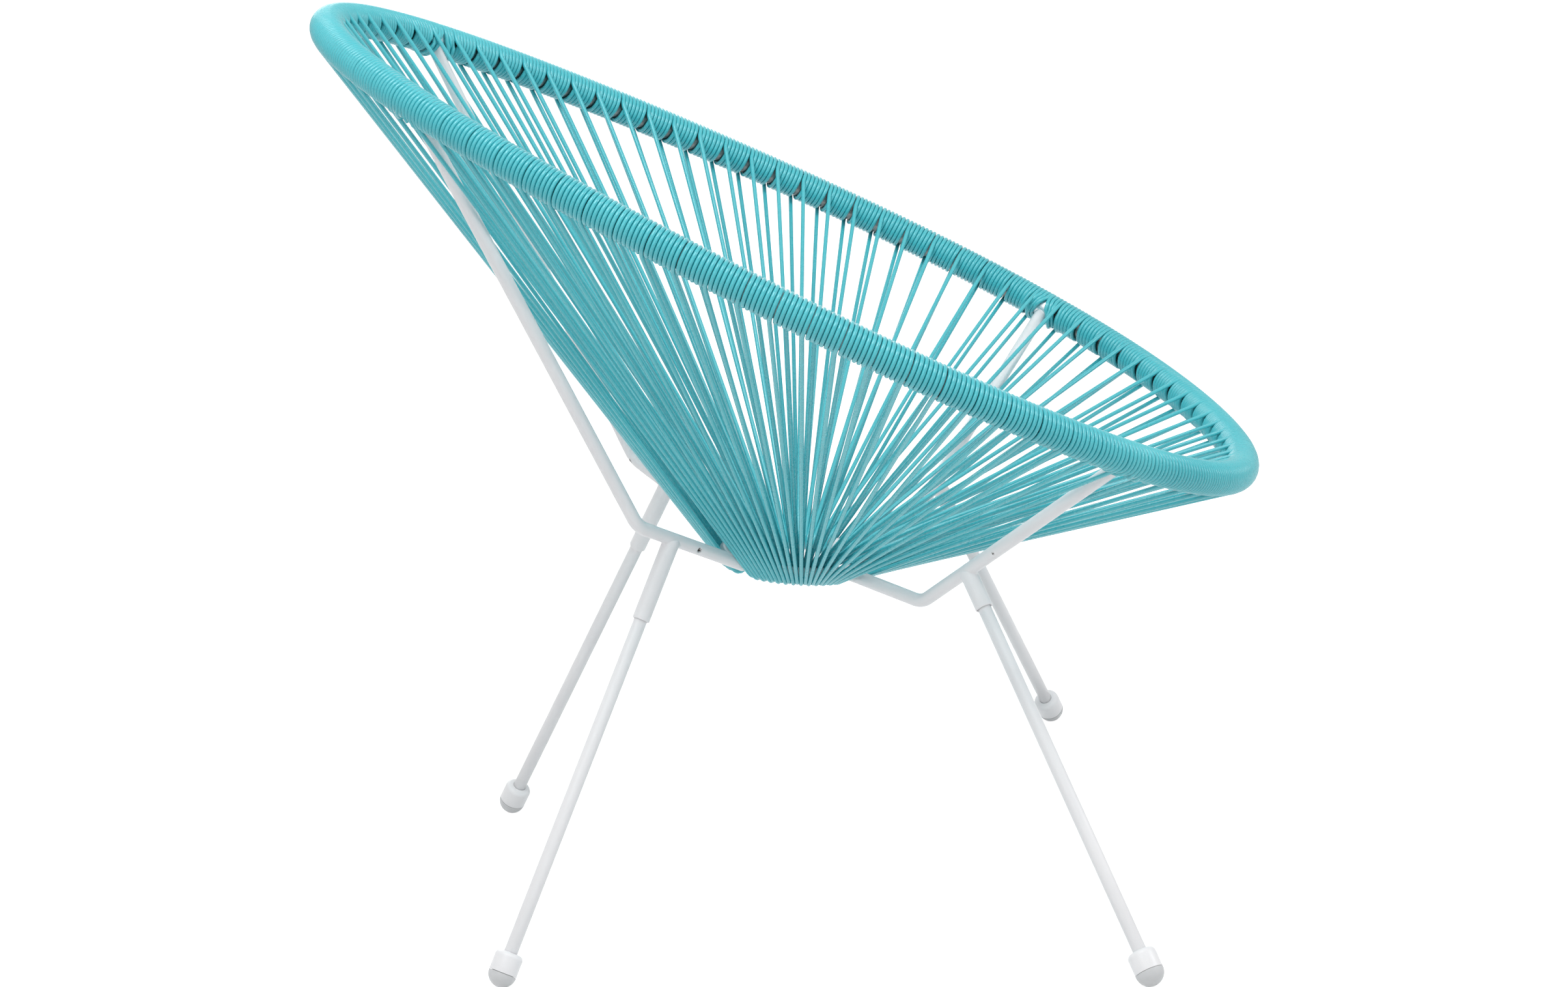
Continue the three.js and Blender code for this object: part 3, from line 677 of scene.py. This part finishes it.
def blend_colours(nodes, links, factor, first, second):
    """A linked colour that gives way to a plain one where the factor is one."""
    node = nodes.new("ShaderNodeMix")
    node.data_type = "RGBA"
    links.new(factor, node.inputs["Factor"])
    links.new(first, node.inputs["A"])
    node.inputs["B"].default_value = (*second, 1)
    return node.outputs["Result"]


# Dark spots in the paint: worn, rusty spots on the rods and by the sockets' welds, and at the drain
# hole rust round its rim with painted shade down in the hole
RUST_AND_SHADE_COLOUR = (0.09, 0.078, 0.07)
PAINT_COLOUR = (0.88, 0.88, 0.9)
RUST_AND_HOLE_SHADE_MARKS = [
    # The drain hole's spot is painted shade on the hole's floor and rust round its rim; the other
    # spots are rust
    {"place": tuple(VENT_PLACE - VENT_FACING * VENT_HOLE_DEPTH), "radius": 8 * MM},
    {"place": (0.1447, -0.1921, 0.3338), "radius": 4 * MM},
    {"place": (-0.1593, 0.1202, 0.3664), "radius": 6 * MM},
]
# Paint on the hoop tube round the struts' welds
WELD_PAINT_REACH = 22 * MM
WELD_PAINT = [{"place": tuple(strut_corners(place, sign)[0]), "radius": WELD_PAINT_REACH}
              for place in STRUTS for sign in SIDES.values()]


def cord_material():
    """Glossy turquoise PVC: colour and gloss drift a little from length to length."""
    material, nodes, links, shader = new_material("turquoise_pvc")
    drift = noise(nodes, links, 9.0)
    colour = ramp(nodes, links, drift.outputs["Fac"], [
        (0.3, (0.055, 0.48, 0.545)), (0.5, (0.065, 0.515, 0.58)), (0.7, (0.085, 0.55, 0.61))])
    links.new(colour.outputs["Color"], shader.inputs["Base Color"])
    scuff = noise(nodes, links, 160.0)
    gloss = roughness_range(nodes, links, scuff.outputs["Fac"], 0.24, 0.34)
    links.new(gloss.outputs["Result"], shader.inputs["Roughness"])
    shader.inputs["IOR"].default_value = 1.52
    shader.inputs["Coat Weight"].default_value = 0.25
    shader.inputs["Coat Roughness"].default_value = 0.12
    return material


def steel_material():
    """White powder coat: satin, with a faint orange peel, dark spots of rust, and painted shade in
    the drain hole.
    """
    material, nodes, links, shader = new_material("white_powder_coat")
    drift = noise(nodes, links, 14.0)
    colour = ramp(nodes, links, drift.outputs["Fac"], [
        (0.3, (0.86, 0.86, 0.875)), (0.7, (0.9, 0.9, 0.91))])
    patch = noise(nodes, links, 60.0)
    gloss = roughness_range(nodes, links, patch.outputs["Fac"], 0.28, 0.4)
    links.new(gloss.outputs["Result"], shader.inputs["Roughness"])
    peel = noise(nodes, links, 700.0, 1.5)
    bump(nodes, links, shader, peel.outputs["Fac"], 0.0004, 0.3)
    grit = noise(nodes, links, 900.0, 4.0)
    # Dark spots: rust, and painted shade in the drain hole
    rust_and_shade = spots(nodes, links, RUST_AND_HOLE_SHADE_MARKS)
    ragged = combine(nodes, links, "MULTIPLY", rust_and_shade, grit.outputs["Fac"])
    bare = ramp(nodes, links, ragged, [(0.3, (0, 0, 0)), (0.42, (1, 1, 1))])
    rusted_and_shaded = blend_colours(nodes, links, bare.outputs["Color"], colour.outputs["Color"],
                            RUST_AND_SHADE_COLOUR)
    links.new(rusted_and_shaded, shader.inputs["Base Color"])
    return material


def glide_material():
    """Pale translucent plastic, a little scuffed."""
    material, nodes, links, shader = new_material("glide_plastic")
    drift = noise(nodes, links, 40.0)
    colour = ramp(nodes, links, drift.outputs["Fac"], [
        (0.3, (0.62, 0.63, 0.64)), (0.7, (0.7, 0.705, 0.71))])
    links.new(colour.outputs["Color"], shader.inputs["Base Color"])
    scuff = noise(nodes, links, 220.0)
    gloss = roughness_range(nodes, links, scuff.outputs["Fac"], 0.32, 0.5)
    links.new(gloss.outputs["Result"], shader.inputs["Roughness"])
    bump(nodes, links, shader, scuff.outputs["Fac"], 0.0003, 0.3)
    shader.inputs["Subsurface Weight"].default_value = 0.25
    shader.inputs["Subsurface Radius"].default_value = (0.004, 0.004, 0.004)
    return material


def zinc_material():
    """Zinc plate with a cloudy gloss."""
    material, nodes, links, shader = new_material("zinc_plate")
    cloud = noise(nodes, links, 120.0)
    colour = ramp(nodes, links, cloud.outputs["Fac"], [
        (0.35, (0.56, 0.57, 0.6)), (0.65, (0.7, 0.7, 0.69))])
    links.new(colour.outputs["Color"], shader.inputs["Base Color"])
    gloss = roughness_range(nodes, links, cloud.outputs["Fac"], 0.28, 0.45)
    links.new(gloss.outputs["Result"], shader.inputs["Roughness"])
    shader.inputs["Metallic"].default_value = 1.0
    return material


def tube_material():
    """Metal tube: dull grey with cloudy patches, and white at the welds. Its grey is kept dark as
    painted shade, since it shows only in the narrow gaps between the turns of cord.
    """
    material, nodes, links, shader = new_material("tube_with_painted_gap_shade")
    cloud = noise(nodes, links, 70.0, 4.0)
    # Dark grey: painted shade for the narrow gaps between the turns of cord
    colour = ramp(nodes, links, cloud.outputs["Fac"], [
        (0.35, (0.16, 0.157, 0.155)), (0.65, (0.28, 0.272, 0.268))])
    painted = ramp(nodes, links, spots(nodes, links, WELD_PAINT), [
        (0.2, (0, 0, 0)), (0.26, (1, 1, 1))])
    coated = blend_colours(nodes, links, painted.outputs["Color"], colour.outputs["Color"],
                           PAINT_COLOUR)
    links.new(coated, shader.inputs["Base Color"])
    gloss = roughness_range(nodes, links, cloud.outputs["Fac"], 0.25, 0.4)
    links.new(gloss.outputs["Result"], shader.inputs["Roughness"])
    shader.inputs["Metallic"].default_value = 1.0
    return material


PVC = cord_material()
TUBE = tube_material()
PAINT = steel_material()
PLASTIC = glide_material()
ZINC = zinc_material()


# Pieces of the seat frame
def build_hoop_tube():
    """The hoop's tube, bare under the winding."""
    length = np.linspace(0, HOOP_PERIMETER, HOOP_STEPS, endpoint=False)
    point, _, outward = hoop_frame(length)
    points, faces = tube_mesh(point, outward, TUBE_RADIUS, ROD_SIDES, closed=True)
    make_piece("hoop", points, faces, TUBE, "seat_frame", ["hoop_tube"])


def build_lower_ring():
    """The ring's rod."""
    angle = np.linspace(0, FULL_TURN, RING_STEPS, endpoint=False)
    outward = np.cos(angle)[:, None] * RING_FORWARD + np.sin(angle)[:, None] * LEFT
    points, faces = tube_mesh(
        RING_CENTRE + RING_RADIUS * outward, outward, ROD_RADIUS, ROD_SIDES, closed=True)
    make_piece("ring", points, faces, PAINT, "seat_frame", ["lower_ring"])


def build_strut(place, side):
    """Strut from the middle of the hoop's tube, round its bend, to the lower ring."""
    corners = strut_corners(place, SIDES[side])
    path = bent_path(corners, STRUT_BEND_RADIUS)
    sideways = unit(np.cross(corners[0] - corners[1], corners[2] - corners[1]))
    vented = (place, side) == ("back", "right")
    if vented:
        reach = VENT_HOLE_DIAMETER / 2 + VENT_HOLE_EDGE
        rows = VENT_HOLE_DISTANCE + np.arange(-reach, reach + VENT_ROW_PITCH, VENT_ROW_PITCH)
        path = np.vstack((path[:-1], corners[1] + rows[:, None] * VENT_ALONG, path[-1]))
    sides = VENT_ROD_SIDES if vented else ROD_SIDES
    points, faces = tube_mesh(path, np.tile(sideways, (len(path), 1)), STRUT_RADIUS, sides)
    if vented:
        points = sink_vent_hole(points, corners[1])
    make_piece(f"strut_rod_{place}_{side}", points, faces, PAINT, "seat_frame",
               [f"strut_{place}_{side}"])


def sink_vent_hole(points, bend):
    """The rod's skin with a round recess: points nearer the hole's middle than its radius, as
    measured along the skin, sink to its depth, with a short slope at the edge."""
    arm = points - bend
    ahead = arm @ VENT_ALONG
    radial = arm - ahead[:, None] * VENT_ALONG
    turn = np.arccos(np.clip(unit(radial) @ VENT_FACING, -1, 1))
    apart = np.hypot(ahead - VENT_HOLE_DISTANCE, turn * STRUT_RADIUS)
    share = np.clip((VENT_HOLE_DIAMETER / 2 + VENT_HOLE_EDGE - apart) / VENT_HOLE_EDGE, 0, 1)
    return points - unit(radial) * (VENT_HOLE_DEPTH * share)[:, None]


def build_cord(name):
    """All the cord of one run as a single tube."""
    run = RUNS[name]
    path, normals = cord_route(run, CORD_SEEDS[name])
    points, faces = tube_mesh(path, normals, CORD_RADIUS, CORD_SIDES)
    nodes = [f"hoop_winding_{name}"]
    nodes += [f"lacing_{name}_{number + 1}" for number in range(run["lacing"])]
    make_piece(f"cord_{name}", points, faces, PVC, "seat_frame", nodes,
               CORD_SHARP_ANGLE)


# Sockets, legs and feet
def leg_line(place, side):
    """Joint of socket and strut, direction down the leg, and the strut's direction there."""
    plan = STRUTS[place]
    top, bend, end = strut_corners(place, SIDES[side])
    start, stop = (bend, end) if plan["socket_below_bend"] else (top, bend)
    joint = start + (stop - start) * plan["socket_share"]
    axis = next(item for item in frame["joints"] if item["name"] == f"leg_screw_{place}_{side}")
    down = unit(np.array(axis["axis"], float))
    return joint, down, unit(stop - start)


def build_socket(place, side):
    """Socket tube with a rounded rim and a bore. Its wall ends in a weld that runs up round the
    strut: each line of the weld is a curve with its middle point on the wall's extension."""
    joint, down, along = leg_line(place, side)
    first = unit(along - down * (along @ down))
    second = np.cross(down, first)
    angle = np.arange(LATHE_SIDES) / LATHE_SIDES * FULL_TURN
    cos, sin = np.cos(angle)[:, None], np.sin(angle)[:, None]
    around = cos * first + sin * second
    radius, bore = SOCKET_DIAMETER / 2, SOCKET_BORE / 2
    length = STRUTS[place]["socket_length"]
    rim = SOCKET_RIM_RADIUS

    def ring(ring_radius, drop):
        return joint + ring_radius * around + drop * down

    rows = [ring(bore, SOCKET_BORE_REACH), ring(bore, length - rim / 2)]
    rows.append(ring(bore + rim / 2, length))
    for turn in np.linspace(0, math.pi / 2, RIM_STEPS + 1):
        rows.append(ring(radius - rim + rim * math.sin(turn), length - rim + rim * math.cos(turn)))
    wall_top = STRUT_RADIUS + WELD_LEG + (WELD_SIDE_DROP - STRUT_RADIUS - WELD_LEG) * sin ** 2
    wall = joint + radius * around + wall_top * down
    rows.append(wall)
    below = unit(down - along * (down @ along))
    aside = np.cross(along, below)
    turn = WELD_SIDE_TURN * np.sign(sin) * np.abs(sin) ** WELD_TURN_POWER
    touch = (joint + (radius + WELD_LEG) * cos * along
             + STRUT_RADIUS * (np.cos(turn) * below + np.sin(turn) * aside * np.sign(aside @ second)))
    bend = joint + radius * around + (wall_top - WELD_LEG) * down
    for share in np.linspace(0, 1, SADDLE_STEPS + 1)[1:]:
        ripple = WELD_RIPPLE * math.sin(share * math.pi) * np.sin(angle * WELD_RIPPLES)[:, None]
        curve = (1 - share) ** 2 * wall + 2 * share * (1 - share) * bend + share ** 2 * touch
        rows.append(curve + ripple * around)
    rows.append(joint + (touch - joint) * WELD_FOLD_SHARE)
    rings = np.vstack(rows)
    ends = np.vstack((joint + SOCKET_BORE_REACH * down, joint))
    points, faces = close_poles(rings, ends, len(rows), LATHE_SIDES)
    make_piece(f"socket_{place}_{side}", points, faces, PAINT, "seat_frame",
               [f"leg_socket_{place}_{side}"])


def build_leg(place, side):
    """Leg rod, ferrule and glide on one line. Heights are above the foot's centre."""
    joint, down, _ = leg_line(place, side)
    foot = joint + down * ((FOOT_HEIGHT - joint[2]) / down[2])
    up = -down
    height = float(np.linalg.norm(joint - foot))
    body = f"leg_{place}_{side}"
    name = f"{place}_{side}"

    top = height - LEG_TOP_DROP
    bottom = GLIDE_SPIGOT_HEIGHT
    bore = STUD_BORE / 2
    rod = [(0, bottom), (LEG_RADIUS - LEG_CHAMFER, bottom), (LEG_RADIUS, bottom + LEG_CHAMFER)]
    rod += [(LEG_RADIUS, top - LEG_CHAMFER), (LEG_RADIUS - LEG_CHAMFER, top), (bore, top)]
    rod += [(bore, top - STUD_HOLD_DEPTH), (0, top - STUD_HOLD_DEPTH)]
    points, faces = lathe_mesh(rod, LATHE_SIDES, foot, up)
    make_piece(f"leg_{name}", points, faces, PAINT, body, [f"leg_rod_{name}"])

    hole = LEG_RADIUS + FERRULE_BORE_CLEARANCE
    pocket = GLIDE_SPIGOT_DIAMETER / 2 + FERRULE_BORE_CLEARANCE
    edge = FERRULE_EDGE_RADIUS
    ferrule = [(0, bottom + FERRULE_SEAM), (pocket, bottom + FERRULE_SEAM)]
    ferrule += [(pocket, FERRULE_SEAM)]
    lip = FERRULE_LIP_RADIUS
    ferrule += arc_profile(GLIDE_RADIUS - lip, FERRULE_SEAM + lip, lip, -math.pi / 2, 0, RIM_STEPS)
    ferrule += arc_profile(GLIDE_RADIUS - edge, FERRULE_HEIGHT - edge, edge, 0, math.pi / 2,
                           FERRULE_EDGE_STEPS)
    ferrule += [(hole, FERRULE_HEIGHT), (hole, bottom + 2 * FERRULE_SEAM)]
    ferrule += [(0, bottom + 2 * FERRULE_SEAM)]
    points, faces = lathe_mesh(ferrule, LATHE_SIDES, foot, up)
    make_piece(f"ferrule_{name}", points, faces, PAINT, body,
               [f"foot_ferrule_{name}"])

    dome = arc_profile(0, 0, GLIDE_RADIUS, -math.pi / 2, 0, DOME_STEPS)
    spigot = GLIDE_SPIGOT_DIAMETER / 2
    glide = [(0, dome[0][1]), *dome[1:]]
    glide += [(spigot, 0), (spigot, GLIDE_SPIGOT_HEIGHT - LEG_CHAMFER)]
    glide += [(0, GLIDE_SPIGOT_HEIGHT - LEG_CHAMFER)]
    points, faces = lathe_mesh(glide, LATHE_SIDES, foot, up)
    points[:, 2] = np.maximum(points[:, 2], 0)
    make_piece(f"glide_{name}", points, faces, PLASTIC, body,
               [f"foot_glide_{name}"])


build_hoop_tube()
build_lower_ring()
for place in STRUTS:
    for side in SIDES:
        build_strut(place, side)
        build_socket(place, side)
        build_leg(place, side)
for name in RUNS:
    build_cord(name)

for name, node in frame["nodes"].items():
    if name.startswith(("socket_nut", "leg_stud")):
        node.data.materials.clear()
        node.data.materials.append(ZINC)


# Camera
def build_camera():
    """Camera at the photograph's viewing point, turned by yaw, pitch and roll."""
    forward = np.array((math.sin(CAMERA_YAW) * math.cos(CAMERA_PITCH),
                        math.cos(CAMERA_YAW) * math.cos(CAMERA_PITCH),
                        -math.sin(CAMERA_PITCH)))
    right = unit(np.cross(forward, (0.0, 0.0, 1.0)))
    up = np.cross(right, forward)
    cos, sin = math.cos(CAMERA_ROLL), math.sin(CAMERA_ROLL)
    turned_right, turned_up = cos * right + sin * up, cos * up - sin * right
    camera = bpy.data.cameras.new("camera")
    camera.sensor_fit = "HORIZONTAL"
    camera.sensor_width = SENSOR_WIDTH
    camera.lens = FOCAL_PIXELS / IMAGE_WIDTH * SENSOR_WIDTH
    holder = bpy.data.objects.new("camera", camera)
    bpy.context.scene.collection.objects.link(holder)
    matrix = np.eye(4)
    matrix[:3, 0], matrix[:3, 1], matrix[:3, 2] = turned_right, turned_up, -forward
    matrix[:3, 3] = CAMERA_PLACE
    holder.matrix_world = Matrix(matrix.tolist())
    bpy.context.scene.camera = holder


# Floor, backdrop and light
AMBIENT_LIGHT = 0.54
BACKDROP_LIGHT = 1.0
FLOOR_COLOUR = (0.72, 0.72, 0.725)
FLOOR_GLOW = 0.76
FLOOR_HALF_SIZE = 12.0
LAMP_TARGET = (0.0, 0.0, 0.5)


def seen_ray(nodes, links):
    """One for rays from the camera, and for those that mirrors and glass send on."""
    ray = nodes.new("ShaderNodeLightPath").outputs
    first = combine(nodes, links, "MAXIMUM", ray["Is Camera Ray"], ray["Is Glossy Ray"])
    return combine(nodes, links, "MAXIMUM", first, ray["Is Transmission Ray"])


def build_floor():
    """White floor that keeps a soft shadow."""
    material = bpy.data.materials.new("floor")
    material.use_nodes = True
    nodes, links = material.node_tree.nodes, material.node_tree.links
    nodes.remove(nodes["Principled BSDF"])
    matt = nodes.new("ShaderNodeBsdfDiffuse")
    matt.inputs["Color"].default_value = (*FLOOR_COLOUR, 1)
    glow = nodes.new("ShaderNodeEmission")
    strength = nodes.new("ShaderNodeMath")
    strength.operation = "MULTIPLY"
    strength.inputs[1].default_value = FLOOR_GLOW
    links.new(seen_ray(nodes, links), strength.inputs[0])
    links.new(strength.outputs[0], glow.inputs["Strength"])
    both = nodes.new("ShaderNodeAddShader")
    links.new(matt.outputs[0], both.inputs[0])
    links.new(glow.outputs[0], both.inputs[1])
    links.new(both.outputs[0], nodes["Material Output"].inputs["Surface"])
    size = FLOOR_HALF_SIZE
    mesh = bpy.data.meshes.new("floor")
    mesh.from_pydata([(-size, -size, 0), (size, -size, 0), (size, size, 0), (-size, size, 0)],
                     [], [(0, 1, 2, 3)])
    mesh.materials.append(material)
    floor = bpy.data.objects.new("floor", mesh)
    bpy.context.scene.collection.objects.link(floor)


def build_world():
    """White backdrop for seen rays, and a softer even light for the rest."""
    world = bpy.data.worlds.new("studio")
    bpy.context.scene.world = world
    world.use_nodes = True
    nodes, links = world.node_tree.nodes, world.node_tree.links
    even = nodes["Background"]
    even.inputs["Color"].default_value = (1, 1, 1, 1)
    even.inputs["Strength"].default_value = AMBIENT_LIGHT
    white = nodes.new("ShaderNodeBackground")
    white.inputs["Color"].default_value = (1, 1, 1, 1)
    white.inputs["Strength"].default_value = BACKDROP_LIGHT
    pick = nodes.new("ShaderNodeMixShader")
    links.new(seen_ray(nodes, links), pick.inputs[0])
    links.new(even.outputs[0], pick.inputs[1])
    links.new(white.outputs[0], pick.inputs[2])
    links.new(pick.outputs[0], nodes["World Output"].inputs["Surface"])


LAMPS = [
    {"name": "overhead", "place": (-0.3, -0.9, 2.7), "size": (1.6, 0.9), "power": 28},
    {"name": "front_fill", "place": (-1.2, -2.6, 2.0), "size": (2.0, 1.6), "power": 14},
    {"name": "right_fill", "place": (2.6, -0.8, 1.6), "size": (0.8, 0.8), "power": 14},
    {"name": "back_fill", "place": (-0.9, 2.7, 1.8), "size": (1.6, 1.2), "power": 16},
]


def build_lamp(plan):
    """Soft rectangular lamp that faces the chair."""
    light = bpy.data.lights.new(plan["name"], "AREA")
    light.shape = "RECTANGLE"
    light.size, light.size_y = plan["size"]
    light.energy = plan["power"]
    lamp = bpy.data.objects.new(plan["name"], light)
    bpy.context.scene.collection.objects.link(lamp)
    back = unit(np.array(plan["place"]) - np.array(LAMP_TARGET))
    right = unit(np.cross((0.0, 0.0, 1.0), back))
    matrix = np.eye(4)
    matrix[:3, 0], matrix[:3, 1], matrix[:3, 2] = right, np.cross(back, right), back
    matrix[:3, 3] = plan["place"]
    lamp.matrix_world = Matrix(matrix.tolist())


build_camera()
build_floor()
build_world()
for plan in LAMPS:
    build_lamp(plan)
bpy.context.scene.view_settings.view_transform = "Standard"
